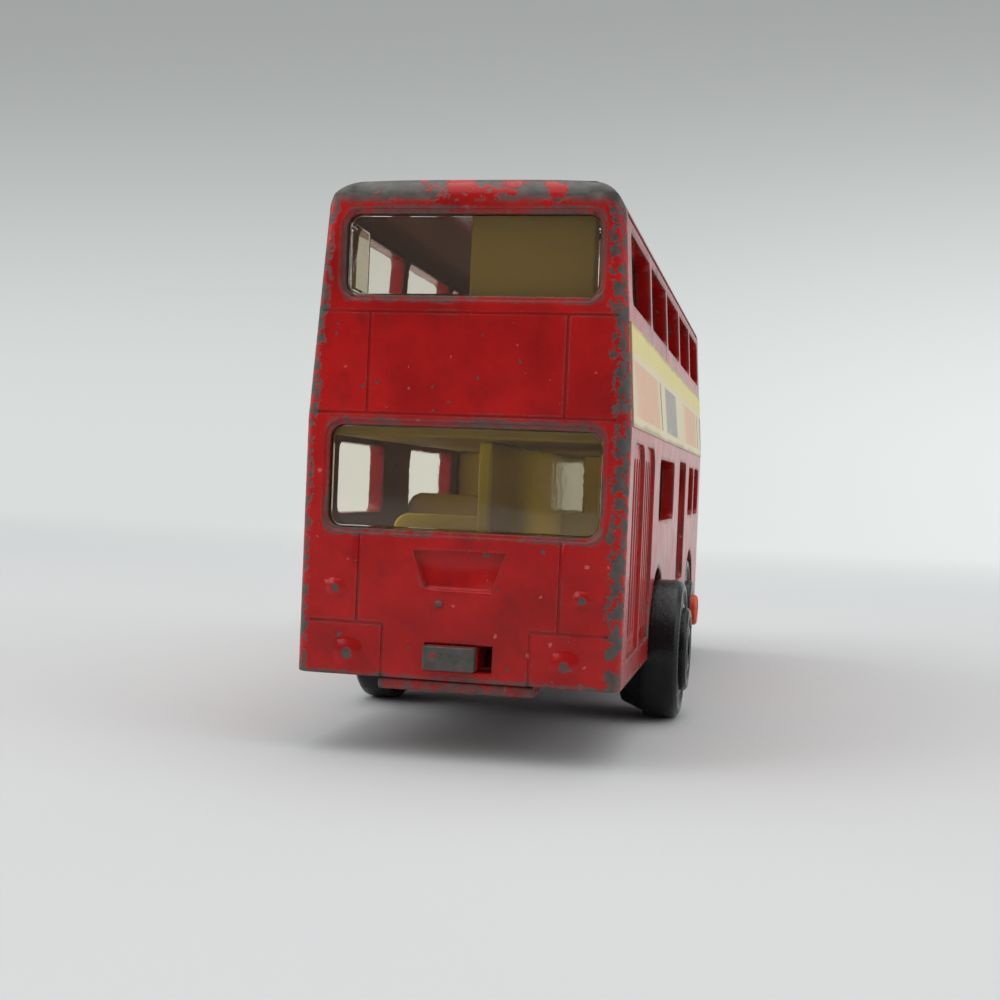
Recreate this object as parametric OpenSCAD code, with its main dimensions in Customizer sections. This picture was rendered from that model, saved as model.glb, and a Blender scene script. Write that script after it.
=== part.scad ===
// A pocket-size die-cast double-decker toy bus, in millimetres.
// The origin lies on the ground under the middle of the bus.
// +X is the right side of the bus, +Y its front and +Z up.

/* [Body] */
// Length from the rear face to the front face
body_length = 76; // [74:0.5:84]
// Width of the lower deck
body_width = 21.6; // [21.4:0.1:23]
// Height of the lower edge above the ground
skirt_z = 5.2; // [5.1:0.05:5.3]
// Height of the waist, where the sides begin to lean in
waist_z = 22; // [21.9:0.1:22.6]
// Height of the top of the roof
roof_z = 38; // [37.8:0.1:40]
// Lean of the upper deck's sides in degrees
upper_lean = 3.8; // [2:0.1:4]
// Rise of the roof's crown across its width
roof_crown = 0.25; // [0.1:0.05:0.4]
// Radius of the roof's edge along the sides
side_roof_r = 2.5; // [2:0.1:2.6]
// Radius of the roof's edge along the rear and the front
end_roof_r = 1.8; // [1.2:0.1:2.2]
// Radius of the upright corners
corner_r = 0.9; // [0.7:0.1:1.4]
// Thickness of the walls
wall = 1.2; // [1:0.05:1.3]
// Thickness of the roof
roof_wall = 1.3; // [1:0.05:1.5]

/* [Upper deck windows] */
// Windows in a row on each side
upper_count = 5; // [4:1:6]
// Wall between the rear face and the first side window
upper_rear_margin = 3.2; // [2.4:0.1:4]
// Wall between the last side window and the front face
upper_front_margin = 3; // [2.4:0.1:4]
// Width of a pillar between two side windows
pillar_w = 1.2; // [0.8:0.1:2]
// Top of the roof to the top of the side windows
upper_window_drop = 3; // [2.6:0.1:3.4]
// Height of the side windows
upper_window_h = 4.7; // [4.2:0.1:5]
// Corner radius of the side windows
side_window_r = 0.7; // [0.4:0.1:1.2]
// Top of the roof to the gutter groove
gutter_drop = 2.3; // [2:0.1:2.4]
// Height of the gutter groove
gutter_h = 0.4; // [0.2:0.05:0.6]
// Depth of the gutter groove
gutter_depth = 0.25; // [0.1:0.05:0.4]

/* [Lower deck side] */
// Sill of the lower windows above the lower edge
lower_sill = 10.5; // [10:0.1:10.8]
// Height of the lower windows
lower_window_h = 4.9; // [4.4:0.1:5.2]
// Rear face to the rear edge of the long saloon window
saloon_window_start = 22.8; // [22:0.1:24]
// Wall between the long saloon window and the middle door
saloon_gap = 6.3; // [5:0.1:8]
// Front edge of the middle door to the front face
door_front = 24; // [23:0.1:25]
// Width of the middle door
door_w = 8.5; // [7:0.1:9]
// Foot of the door above the lower edge
door_sill = 4.4; // [3.6:0.1:5]
// Top of the door above the lower edge
door_top = 15.7; // [15:0.1:16]
// Depth of the door's recess
door_depth = 0.7; // [0.4:0.05:0.8]
// Width of one of the front pair of windows
front_pair_w = 7.3; // [6:0.1:7.5]
// Wall between the front pair of windows and the front face
front_pair_margin = 3.8; // [3:0.1:5]
// Rear face to the rear edge of the left side's rear window
rear_side_start = 4.4; // [3.6:0.1:5]
// Length of the left side's rear window
rear_side_w = 11; // [9:0.1:12]
// Rear face to the rear edge of the engine doors
engine_start = 3; // [2:0.1:3.2]
// Width of one engine door
engine_door_w = 7.2; // [6.6:0.1:7.4]
// Wall between the two engine doors
engine_gap = 0.6; // [0.4:0.1:1]
// Foot of the engine doors above the lower edge
engine_sill = 1.8; // [1.6:0.1:3]
// Height of the engine doors
engine_door_h = 14.2; // [13:0.1:14.4]
// Radius of the engine doors' upper corners
engine_top_r = 1.6; // [0.8:0.1:2.4]
// Depth of the engine doors' outline
engine_depth = 0.25; // [0.1:0.05:0.4]
// Louvre slots in one engine door
louvre_count = 4; // [2:1:5]
// Width of a louvre slot
louvre_w = 0.8; // [0.5:0.1:1]
// Wall round the louvres inside an engine door
louvre_margin = 1; // [0.8:0.1:1.4]
// Depth of a louvre slot from the side face
louvre_depth = 0.6; // [0.45:0.05:0.8]

/* [Rear and front faces] */
// Upper deck's side to the side of the upper end windows, at their top
upper_end_margin = 1.45; // [1.4:0.05:2.1]
// Height of the upper end windows
upper_end_h = 5.3; // [4.8:0.1:5.4]
// Top of the roof to the top of the upper end windows
upper_end_drop = 2.5; // [2.4:0.1:2.8]
// Lower deck's side to the edge of the rear lower window
lower_end_margin = 1.75; // [1.65:0.05:2.4]
// Height of the lower end windows
lower_end_h = 6.75; // [6:0.05:6.8]
// Sill of the lower end windows above the lower edge
lower_end_sill = 9.7; // [9.4:0.1:9.8]
// Lower deck's side to the edge of the two-light windscreen
windscreen_margin = 4.1; // [3.4:0.1:4.4]
// Width of the windscreen's middle pillar
windscreen_pillar = 1.6; // [1.4:0.1:2.4]
// Corner radius of the end windows
end_window_r = 0.9; // [0.6:0.1:1.4]
// Width of the dished rim round an end window
rim_w = 0.3; // [0.2:0.05:0.5]
// Depth of the dished rim
rim_depth = 0.2; // [0.1:0.05:0.3]
// Width of a panel line
line_w = 0.16; // [0.12:0.02:0.3]
// Depth of a panel line
line_depth = 0.12; // [0.1:0.02:0.3]
// Upper panel line above the waist
band_top_rise = 7.1; // [6.6:0.1:7.4]
// Lower panel line above the waist
band_foot_rise = 0.45; // [0.35:0.05:0.6]
// Lower deck's side to the upright panel lines of the band
band_line_margin = 4.25; // [3:0.05:5]
// Lower deck's side to the upright lines of the engine cover
cover_line_margin = 4.1; // [3.4:0.1:4.6]
// Upright lines of the bumper panel from the middle
bumper_line_x = 4.9; // [3.4:0.1:5.5]
// Top of the bumper panel above the lower edge
bumper_line_rise = 3.5; // [3.2:0.1:4]
// Bars of the front grille
grille_count = 4; // [2:1:5]
// Width of the front grille
grille_w = 9; // [6:0.5:11]
// Distance between two bars of the grille
grille_pitch = 1; // [0.8:0.1:1.1]
// Width of the handle recess at its top
recess_top_w = 6.1; // [5:0.1:7]
// Width of the handle recess at its foot
recess_foot_w = 4.5; // [3.6:0.1:5]
// Foot of the handle recess above the lower edge
recess_rise = 6.2; // [6:0.1:6.6]
// Height of the handle recess
recess_h = 2.2; // [1.6:0.1:2.5]
// Depth of the handle recess
recess_depth = 0.5; // [0.3:0.05:0.7]
// Height of the sloping lip under the handle recess
recess_lip = 0.35; // [0.2:0.05:0.5]
// Lower deck's side to the middle of the large rear lamps
large_lamp_margin = 3.6; // [3:0.1:4]
// Height of the large rear lamps above the lower edge
large_lamp_rise = 1.45; // [1.3:0.05:1.8]
// Radius of the large rear lamps and the headlamps
large_lamp_r = 1.1; // [0.8:0.05:1.2]
// Lower deck's side to the middle of the small rear lamps
small_lamp_margin = 2.6; // [2.2:0.1:3.2]
// Height of the small rear lamps above the lower edge
small_lamp_rise = 5.7; // [5.2:0.05:6.2]
// Radius of the small rear lamps
small_lamp_r = 0.75; // [0.5:0.05:0.9]
// Lower deck's side to the middle of the headlamps
headlamp_margin = 2.6; // [2.5:0.1:2.9]
// Height of the headlamps above the lower edge
headlamp_rise = 5.4; // [5:0.1:5.8]
// How far a lamp stands out of its face
lamp_proud = 0.3; // [0.15:0.05:0.4]
// Catch of the engine cover from the middle
catch_x = 1.15; // [0:0.05:2]
// Height of the catch above the lower edge
catch_rise = 5; // [4.6:0.05:5.3]
// Radius of the catch
catch_r = 0.3; // [0.2:0.05:0.5]

/* [Wheels and axles] */
// Radius of the tyres
tyre_r = 5.5; // [5.2:0.1:5.6]
// Width of a tyre
tyre_w = 4.6; // [4:0.1:4.8]
// Width of the tread at full radius
tread_w = 2.8; // [2:0.1:3.2]
// Step from the tread down to the inner shoulder
shoulder_step = 0.35; // [0.1:0.05:0.6]
// Radius of the inner shoulder at the tyre's inner face
shoulder_r = 4.4; // [4:0.1:4.8]
// Chamfer of the tread's outer edge
tread_chamfer = 0.35; // [0.1:0.05:0.5]
// Rear face to the rear axle
rear_axle_place = 24.6; // [24.4:0.1:25]
// Front axle to the front face
front_axle_place = 13.7; // [13.4:0.1:14.2]
// How far the rear tyres stand outside the body's side
rear_reach = 2.2; // [1.8:0.1:2.4]
// How far the front tyres stand outside the body's side
front_reach = -0.1; // [-0.3:0.1:0.1]
// Radius of the wheel arches
arch_r = 6.4; // [6.2:0.1:6.8]
// Radius of the rear hubs
rear_hub_r = 3.3; // [2.6:0.1:3.6]
// How far the rear hubs stand out of their tyres
rear_hub_proud = 0.5; // [0.2:0.05:0.6]
// Radius of the front hubs
front_hub_r = 1.6; // [1.5:0.05:1.8]
// How far the front hubs stand out of their tyres
front_hub_proud = 1.2; // [1:0.05:1.4]
// Radius of the raised boss round a front hub
front_boss_r = 3.1; // [2.6:0.1:3.4]
// How far the boss stands out of its tyre
front_boss_proud = 0.6; // [0.4:0.05:0.8]
// Chamfer of a hub's outer edge
hub_chamfer = 0.2; // [0.1:0.05:0.3]
// Radius of the axles
axle_r = 0.75; // [0.6:0.05:0.9]
// Radius of an axle's head
axle_head_r = 1; // [0.95:0.05:1.05]
// Thickness of an axle's head
axle_head_t = 0.5; // [0.3:0.05:0.6]
// Depth of the pocket in a hub for the axle's head
head_pocket = 0.75; // [0.7:0.05:1]

/* [Baseplate] */
// Thickness of the plate
plate_t = 1; // [0.8:0.05:1.1]
// Lower deck's side to the side of the raised belly
belly_margin = 5.4; // [5.3:0.1:6]
// Height of the belly's flat underside above the ground
belly_z = 4; // [3.7:0.1:4.1]
// Rear face to the rear end of the belly
belly_rear = 9; // [8:0.1:10]
// Belly to the front face
belly_front = 9; // [8.6:0.1:10]
// Length of an axle beam along the bus
beam_l = 4.4; // [4:0.1:5]
// Wall of an axle beam above its axle
beam_wall = 0.9; // [0.7:0.05:1]
// Width of the tail tab
tab_w = 3.45; // [3:0.05:3.8]
// Middle of the bus to the middle of the tail tab on its left
tab_shift = 0.22; // [0:0.02:0.4]
// Height of the tail tab
tab_h = 1.6; // [1.5:0.05:1.7]
// Foot of the tail tab above the lower edge
tab_rise = 0.75; // [0.7:0.05:0.85]
// How far the tail tab stands out of the rear face
tab_reach = 0.9; // [0.6:0.05:1.2]
// Length of the tail tab's root on the plate
tab_root = 2.4; // [1.6:0.1:3]
// Room on the right of the tail tab in its slot
slot_room = 0.95; // [0.4:0.05:1.1]
// Lower deck's side to the end of the tail strip under the rear wall
strip_margin = 5.6; // [5:0.1:6.4]
// Rear face to the tail strip
strip_set = 0.4; // [0.3:0.05:0.6]
// Length of the tail strip along the bus
strip_l = 2.4; // [2:0.1:3]
// How far the tail strip hangs below the lower edge
strip_drop = 0.8; // [0.6:0.05:1]
// Lower deck's side to the end of the front bumper
bumper_margin = 1.3; // [1:0.1:2.4]
// Height of the front bumper
bumper_h = 1.9; // [1.7:0.05:2.2]
// How far the front bumper stands out of the front face
bumper_reach = 0.9; // [0.6:0.05:1.2]
// Lower deck's side to the side of the tongue that carries the bumper
tongue_margin = 3.3; // [2.8:0.1:4.8]
// Rivet to the front face
rivet_place = 5; // [4.8:0.1:5.4]
// Radius of the rivet's shank
rivet_r = 0.9; // [0.7:0.05:1]
// Radius of the rivet's head
rivet_head_r = 1.7; // [1.5:0.05:1.8]
// Thickness of the rivet's head
rivet_head_t = 0.45; // [0.3:0.05:0.5]
// Length of the rivet's shank above the plate
rivet_grip = 4; // [3:0.1:5]
// Radius of the post that takes the rivet
post_r = 2.1; // [1.8:0.1:2.2]
// Height of the post above the plate
post_h = 5.6; // [5.4:0.1:6]

/* [Seats and decks] */
// Thickness of the floors
floor_t = 0.8; // [0.6:0.05:1]
// Rear face to the rear edge of the lower floor
floor_rear = 7.4; // [6:0.1:8.6]
// Lower floor to the front face
floor_front = 8; // [7.6:0.1:9]
// Lower deck's side to the side of the lower floor
floor_margin = 3.8; // [3.7:0.1:4.4]
// Thickness of the partition down the middle
partition_t = 0.9; // [0.7:0.05:1.2]
// Underside of the upper floor below the waist
deck_drop = 1; // [0.9:0.05:1.2]
// Rear face to the first row of seats
row_place = 9.2; // [8.8:0.1:9.4]
// Rear face to the rear end of the upper deck's partition and its bulkhead
upper_partition_rear = 2.2; // [2.1:0.1:2.3]
// Rows of seats on the lower deck
lower_rows = 5; // [3:1:5]
// Rows of seats on the upper deck
upper_rows = 6; // [3:1:6]
// Front face to the end of the last row of lower seats
lower_row_front = 16.8; // [16:0.1:18]
// Front face to the end of the last row of upper seats
upper_row_front = 6.8; // [6:0.1:9]
// Length of a seat cushion
cushion_l = 4.6; // [3.6:0.1:5.4]
// Height of a seat cushion above its floor
cushion_h = 3; // [2:0.1:3.4]
// Height of a seat back above its floor
back_h = 7.8; // [7:0.1:8.2]
// Gap between the row over the rear wheels and the walls
wheel_row_gap = 0.9; // [0.6:0.1:1.4]
// Top of the row over the rear wheels above the lower floor
wheel_row_h = 9.2; // [8.4:0.1:9.6]
// Thickness of the cushion over the rear wheels
wheel_cushion_h = 1.4; // [1:0.1:2]
// Aisle between the partition and the right half of the bulkhead
aisle_w = 1.9; // [1.2:0.1:2.6]
// Thickness of a seat back
back_t = 1; // [0.8:0.05:1.4]
// Radius of a seat back's outer top corner
back_r = 1.2; // [0.6:0.1:1.6]
// Gap between the upper deck's seats and the walls
upper_seat_gap = 0.8; // [0.5:0.1:1.4]
// Height of the upper deck's seat backs above their floor
upper_back_h = 5.6; // [5:0.1:6]

/* [Window panes] */
// Thickness of the flange behind the wall
flange_t = 0.6; // [0.4:0.05:0.8]
// Width of the flange beyond the window's upper and lower edges
flange_w = 0.4; // [0.3:0.05:0.45]
// Width of the flange beyond the window's left and right edges
flange_side_w = 0.15; // [0.1:0.05:0.2]
// Depth of the returns at the two ends of an upper pane
return_l = 3; // [2:0.1:3.4]
// Thickness of the returns
return_t = 0.5; // [0.4:0.05:0.7]
// Depth of the pane's face behind the rear or front face
pane_set = 0.6; // [0.4:0.02:0.7]

/* [Side labels] */
// Thickness of a label
label_t = 0.08; // [0.05:0.01:0.12]
// Height of a label
label_h = 6.75; // [6:0.05:7]
// Label to the waist edge
label_rise = 0.15; // [0.1:0.05:0.3]
// Label to the rear and front faces
label_margin = 1.25; // [1.2:0.05:2]

/* [Clearances] */
// Radial clearance of a hub on its axle
hub_clear = 0.04; // [0.03:0.01:0.08]
// Radial clearance of an axle in its beam
beam_clear = 0.05; // [0.03:0.01:0.08]
// End play of a wheel against its axle head
end_play = 0.08; // [0.06:0.01:0.12]
// Gap between a wheel and its beam
beam_gap = 0.2; // [0.15:0.05:0.3]
// Gap round the plate, the panes and the rivet
fit = 0.05; // [0.04:0.01:0.08]
// Gap between the lower floor and the front tyres
wheel_gap = 0.3; // [0.2:0.05:0.5]
// Gap between the floors and the walls beside them
floor_gap = 0.2; // [0.15:0.05:0.3]

/* [Hidden] */
$fn = 64;

paint_red = "#b01c1c";
pane_tint = "#d8d4a8";
pane_alpha = 0.4;
seat_olive = "#a39420";
over = 1;
side_x = body_width / 2;
rear_y = -body_length / 2;
front_y = body_length / 2;
axle_z = tyre_r;
rear_axle_y = rear_y + rear_axle_place;
front_axle_y = front_y - front_axle_place;
plate_z = skirt_z + plate_t;
beam_top = axle_z + axle_r + beam_clear + beam_wall;
floor_z = beam_top + floor_t;
deck_z = waist_z - deck_drop;
upper_floor_z = deck_z + floor_t;
ceiling_z = roof_z - roof_crown - roof_wall;
window_cut = wall + (roof_z - waist_z) * tan(upper_lean) + over;
upper_pitch = (body_length - upper_rear_margin - upper_front_margin + pillar_w) / upper_count;
front_pair_y = front_y - front_pair_margin - 2 * front_pair_w - pillar_w;
door_y = front_y - door_front - door_w;
saloon_window_w = door_y - saloon_gap - rear_y - saloon_window_start;
lower_end_w = body_width - 2 * lower_end_margin;
windscreen_w = body_width - 2 * windscreen_margin;
belly_w = body_width - 2 * belly_margin;
bumper_w = body_width - 2 * bumper_margin;
tongue_w = body_width - 2 * tongue_margin;
floor_half = side_x - floor_margin;
strip_w = body_width - 2 * strip_margin;
wheel_row_half = side_x - wall - wheel_row_gap;
lower_pitch = (body_length - row_place - lower_row_front) / lower_rows;
upper_row_pitch = (body_length - row_place - upper_row_front) / upper_rows;
louvre_pitch = (engine_door_w - 2 * louvre_margin - louvre_w) / (louvre_count - 1);
tab_z = skirt_z + tab_rise;
tab_x = -tab_shift - tab_w / 2;
row_y = rear_y + row_place;
wheel_row = 1;
bulkhead_row = 3;
light_w = (windscreen_w - windscreen_pillar) / 2;
light_x = (windscreen_w + windscreen_pillar) / 4;
upper_end_z = roof_z - upper_end_drop - upper_end_h / 2;
upper_end_w = 2 * hundredths(side_at(roof_z - upper_end_drop) - upper_end_margin);
upper_window_z = roof_z - upper_window_drop - upper_window_h;
gutter_z = roof_z - gutter_drop;
lower_end_z = skirt_z + lower_end_sill + lower_end_h / 2;

// A worked-out length to the nearest hundredth of a millimetre
function hundredths(length) = round(length * 100) / 100;

// Distance of the side wall from the middle at height z, inset by a wall
function side_at(z, inset = 0) = side_x - inset - max(z - waist_z, 0) * tan(upper_lean);

// Centre of the round between a side that leans from (half, base) and a flat top
function round_centre(half, base, lean, top, r) =
    [half - (r - (base - top + r) * sin(lean)) / cos(lean), top - r];

// Cross section of the shell, looking along the bus, inset by a wall thickness
module shell_section(inset, foot, top) {
    r = side_roof_r - inset;
    c = round_centre(side_x - inset, waist_z, upper_lean, top, r);
    crown_r = (c.x * c.x + roof_crown * roof_crown) / (2 * roof_crown);
    edge = c + r * [cos(upper_lean), sin(upper_lean)];
    intersection() {
        union() {
            polygon([[-side_x + inset, foot], [side_x - inset, foot], [side_x - inset, waist_z], edge,
                [c.x, top], [c.x, top + roof_crown], [-c.x, top + roof_crown], [-c.x, top],
                [-edge.x, edge.y], [-side_x + inset, waist_z]]);
            for (s = [-1, 1]) translate([s * c.x, c.y]) circle(r);
        }
        translate([0, top + roof_crown - crown_r]) circle(crown_r);
    }
}

// Outline of the body, looking from the side
module side_profile() {
    translate([rear_y, skirt_z]) square([body_length, roof_z - end_roof_r - skirt_z]);
    translate([rear_y + end_roof_r, skirt_z]) square([body_length - 2 * end_roof_r, roof_z - skirt_z]);
    for (s = [-1, 1]) translate([s * (front_y - end_roof_r), roof_z - end_roof_r]) circle(end_roof_r);
}

module rounded_rect(w, h, r) {
    square([w - 2 * r, h], center = true);
    square([w, h - 2 * r], center = true);
    for (sx = [-1, 1], sy = [-1, 1]) translate([sx * (w / 2 - r), sy * (h / 2 - r)]) circle(r);
}

// A rectangle that stands on its lower left corner
module window(w, h, r) {
    translate([w / 2, h / 2]) rounded_rect(w, h, r);
}

// An upright slot with round ends, standing on its lower end
module slot(w, h) {
    translate([-w / 2, w / 2]) square([w, h - w]);
    for (z = [w / 2, h - w / 2]) translate([0, z]) circle(w / 2);
}

// A door leaf with round upper corners
module leaf(w, h, r) {
    square([w, h - r]);
    translate([r, 0]) square([w - 2 * r, h]);
    for (x = [r, w - r]) translate([x, h - r]) circle(r);
}

// A flat drawing in X and Z, sunk into the rear face or the front face
module rear_cut(depth) {
    translate([0, rear_y + depth, 0]) rotate([90, 0, 0]) linear_extrude(depth + over) children();
}

module front_cut(depth) {
    mirror([0, 1, 0]) rear_cut(depth) children();
}

// A flat drawing in Y and Z, sunk into the right side
module right_cut(depth) {
    translate([side_x - depth, 0, 0]) rotate([90, 0, 90]) linear_extrude(depth + over) children();
}

module both_sides() {
    children();
    mirror([1, 0, 0]) children();
}

module both_ends() {
    children();
    mirror([0, 1, 0]) children();
}

// What is trimmed off an upright edge to round it, with the edge at the origin
module edge_trim(h) {
    linear_extrude(h) difference() {
        translate([-over, -over]) square(corner_r + over);
        translate([corner_r, corner_r]) circle(corner_r);
    }
}

module corner_trims() {
    both_sides() both_ends() {
        translate([side_x, rear_y, skirt_z - over]) mirror([1, 0, 0]) edge_trim(waist_z - skirt_z + over);
        translate([side_x, rear_y, waist_z]) rotate([0, -upper_lean, 0]) translate([0, 0, -line_w])
            mirror([1, 0, 0]) edge_trim(roof_z - waist_z + over);
    }
}

module upper_side_windows() {
    for (i = [0 : upper_count - 1])
        translate([rear_y + upper_rear_margin + i * upper_pitch, upper_window_z])
            window(upper_pitch - pillar_w, upper_window_h, side_window_r);
}

module saloon_window() {
    translate([rear_y + saloon_window_start, skirt_z + lower_sill])
        window(saloon_window_w, lower_window_h, side_window_r);
}

module rear_side_window() {
    translate([rear_y + rear_side_start, skirt_z + lower_sill])
        window(rear_side_w, lower_window_h, side_window_r);
}

module front_pair() {
    for (i = [0, 1])
        translate([front_pair_y + i * (front_pair_w + pillar_w), skirt_z + lower_sill])
            window(front_pair_w, lower_window_h, side_window_r);
}

module door_outline() {
    translate([door_y, skirt_z + door_sill])
        window(door_w, door_top - door_sill, side_window_r);
}

// The two glazed leaves of the middle door, a line apart
module door_lights() {
    w = (door_w - 3 * pillar_w) / 2;
    for (i = [0, 1])
        translate([door_y + pillar_w + i * (w + pillar_w), skirt_z + lower_sill])
            window(w, door_top - lower_sill - pillar_w / 2, side_window_r);
}

module engine_doors() {
    for (i = [0, 1])
        translate([rear_y + engine_start + i * (engine_door_w + engine_gap), skirt_z + engine_sill])
            leaf(engine_door_w, engine_door_h, engine_top_r);
}

module louvres() {
    h = engine_door_h - 2 * louvre_margin;
    first = rear_y + engine_start + louvre_margin + louvre_w / 2;
    for (i = [0, 1], k = [0 : louvre_count - 1])
        translate([first + i * (engine_door_w + engine_gap) + k * louvre_pitch,
            skirt_z + engine_sill + louvre_margin])
            slot(louvre_w, h);
}

module arches() {
    for (y = [rear_axle_y, front_axle_y]) translate([y, axle_z]) circle(arch_r);
}

module side_cuts() {
    both_sides() {
        right_cut(window_cut) upper_side_windows();
        right_cut(window_cut) saloon_window();
        right_cut(window_cut) front_pair();
        right_cut(window_cut) arches();
        right_cut(door_depth) door_outline();
        right_cut(window_cut) door_lights();
        translate([side_at(gutter_z) - gutter_depth, rear_y + end_roof_r, gutter_z])
            cube([over, body_length - 2 * end_roof_r, gutter_h]);
    }
    right_cut(engine_depth) engine_doors();
    right_cut(louvre_depth) louvres();
    mirror([1, 0, 0]) right_cut(window_cut) rear_side_window();
}

// An end window about its middle at x and z, grown by its rim
module end_window(x, z, w, h, grow) {
    translate([x, z]) rounded_rect(w + 2 * grow, h + 2 * grow, end_window_r + grow);
}

module rear_windows(grow) {
    end_window(0, upper_end_z, upper_end_w, upper_end_h, grow);
    end_window(0, lower_end_z, lower_end_w, lower_end_h, grow);
}

module front_windows(grow) {
    end_window(0, upper_end_z, upper_end_w, upper_end_h, grow);
    for (s = [-1, 1]) end_window(s * light_x, lower_end_z, light_w, lower_end_h, grow);
}

module line_across(x0, x1, z) {
    translate([x0, z - line_w / 2]) square([x1 - x0, line_w]);
}

module line_up(x, z0, z1) {
    translate([x - line_w / 2, z0]) square([line_w, z1 - z0]);
}

// Panel lines that the rear and the front share
module band_lines() {
    z0 = waist_z + band_foot_rise;
    z1 = waist_z + band_top_rise;
    half = side_x - corner_r;
    line_across(-half, half, z0);
    line_across(-half, half, z1);
    for (s = [-1, 1]) line_up(s * (side_x - band_line_margin), z0, z1);
}

// Panel lines of the engine cover and the bumper panel
module cover_lines() {
    z = skirt_z + bumper_line_rise;
    half = side_x - corner_r;
    for (s = [-1, 1]) {
        line_up(s * (side_x - cover_line_margin), z, skirt_z + lower_end_sill - rim_w);
        line_up(s * bumper_line_x, skirt_z - over, z);
    }
    line_across(-half, -bumper_line_x, z);
    line_across(bumper_line_x, half, z);
}

module handle_recess() {
    translate([0, skirt_z + recess_rise])
        polygon([[-recess_foot_w / 2, 0], [recess_foot_w / 2, 0],
            [recess_top_w / 2, recess_h], [-recess_top_w / 2, recess_h]]);
}

// What is cut off under the handle recess for its sloping lip
module recess_slope() {
    z = skirt_z + recess_rise;
    translate([-recess_foot_w / 2, 0, 0]) rotate([90, 0, 90]) linear_extrude(recess_foot_w)
        polygon([[rear_y - over, z], [rear_y - over, z - recess_lip], [rear_y, z - recess_lip],
            [rear_y + recess_depth, z]]);
}

module grille() {
    for (i = [0 : grille_count - 1])
        line_across(-grille_w / 2, grille_w / 2, skirt_z + bumper_line_rise + (i + 1) * grille_pitch);
}

module tab_slot() {
    translate([tab_x - fit, tab_z - fit]) square([fit + tab_w + slot_room, tab_h + 2 * fit]);
}

module end_cuts() {
    both_ends() {
        rear_cut(line_depth) band_lines();
        rear_cut(line_depth) cover_lines();
    }
    rear_cut(rim_depth) rear_windows(rim_w);
    rear_cut(wall + over) rear_windows(0);
    rear_cut(recess_depth) handle_recess();
    recess_slope();
    rear_cut(wall + over) tab_slot();
    front_cut(rim_depth) front_windows(rim_w);
    front_cut(wall + over) front_windows(0);
    front_cut(line_depth) grille();
    front_cut(wall + over) translate([0, skirt_z])
        square([tongue_w + 2 * fit, 2 * (plate_t + fit)], center = true);
}

// A shallow dome of radius r that stands out of the rear face
module dome(x, z, r) {
    ball_r = (r * r + lamp_proud * lamp_proud) / (2 * lamp_proud);
    intersection() {
        translate([x, rear_y + ball_r - lamp_proud, z]) sphere(ball_r);
        translate([x, rear_y + wall / 2, z]) rotate([90, 0, 0]) cylinder(r = r, h = wall / 2 + lamp_proud);
    }
}

module lamps() {
    for (s = [-1, 1]) {
        dome(s * (side_x - large_lamp_margin), skirt_z + large_lamp_rise, large_lamp_r);
        dome(s * (side_x - small_lamp_margin), skirt_z + small_lamp_rise, small_lamp_r);
        mirror([0, 1, 0])
            dome(s * (side_x - headlamp_margin), skirt_z + headlamp_rise, large_lamp_r);
    }
    dome(-catch_x, skirt_z + catch_rise, catch_r);
}

// Post behind the front wall that takes the rivet
module rivet_post() {
    difference() {
        union() {
            translate([0, front_y - rivet_place, plate_z]) cylinder(r = post_r, h = post_h);
            translate([-post_r, front_y - rivet_place, plate_z])
                cube([2 * post_r, rivet_place - wall / 2, post_h]);
        }
        translate([0, front_y - rivet_place, plate_z - over])
            cylinder(r = rivet_r + fit, h = rivet_grip + fit + over);
    }
}

module body_casting() {
    color(paint_red) {
        difference() {
            intersection() {
                translate([0, front_y, 0]) rotate([90, 0, 0]) linear_extrude(body_length)
                    shell_section(0, skirt_z, roof_z - roof_crown);
                translate([-side_x, 0, 0]) rotate([90, 0, 90]) linear_extrude(body_width) side_profile();
            }
            translate([0, front_y - wall, 0]) rotate([90, 0, 0]) linear_extrude(body_length - 2 * wall)
                shell_section(wall, skirt_z - over, ceiling_z);
            corner_trims();
            side_cuts();
            end_cuts();
        }
        lamps();
        rivet_post();
    }
}

// Room round a wheel that the plate and the lower floor keep clear
module wheel_room(y, reach, gap) {
    inner = side_x + reach - tyre_w - gap;
    both_sides() translate([inner, y, axle_z]) rotate([0, 90, 0]) cylinder(r = arch_r, h = tyre_w + over);
}

// Beam across the plate with a bore for an axle
module axle_beam(y, reach) {
    half = side_x + reach - tyre_w - 2 * beam_gap;
    translate([-half, y - beam_l / 2, belly_z]) cube([2 * half, beam_l, beam_top - belly_z]);
}

module axle_bore(y) {
    translate([-side_x, y, axle_z]) rotate([0, 90, 0]) cylinder(r = axle_r + beam_clear, h = body_width);
}

module tail_tab() {
    root_y = rear_y + wall + fit;
    translate([tab_x, rear_y - tab_reach, tab_z]) cube([tab_w, tab_reach + wall + tab_root, tab_h]);
    translate([tab_x, root_y, skirt_z]) cube([tab_w, tab_root, tab_rise + tab_h]);
}

// Strip that shows under the rear wall, joined to the plate in front of it
module tail_strip() {
    root_y = rear_y + wall + fit;
    translate([-strip_w / 2, rear_y + strip_set, skirt_z - strip_drop])
        cube([strip_w, strip_l, strip_drop - fit]);
    translate([-strip_w / 2, root_y, skirt_z - strip_drop])
        cube([strip_w, rear_y + strip_set + strip_l - root_y, strip_drop + plate_t]);
}

module bumper() {
    translate([-tongue_w / 2, front_y - 2 * wall, skirt_z])
        cube([tongue_w, 2 * wall + bumper_reach, plate_t]);
    translate([-bumper_w / 2, front_y + fit, skirt_z]) cube([bumper_w, bumper_reach - fit, bumper_h]);
}

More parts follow.
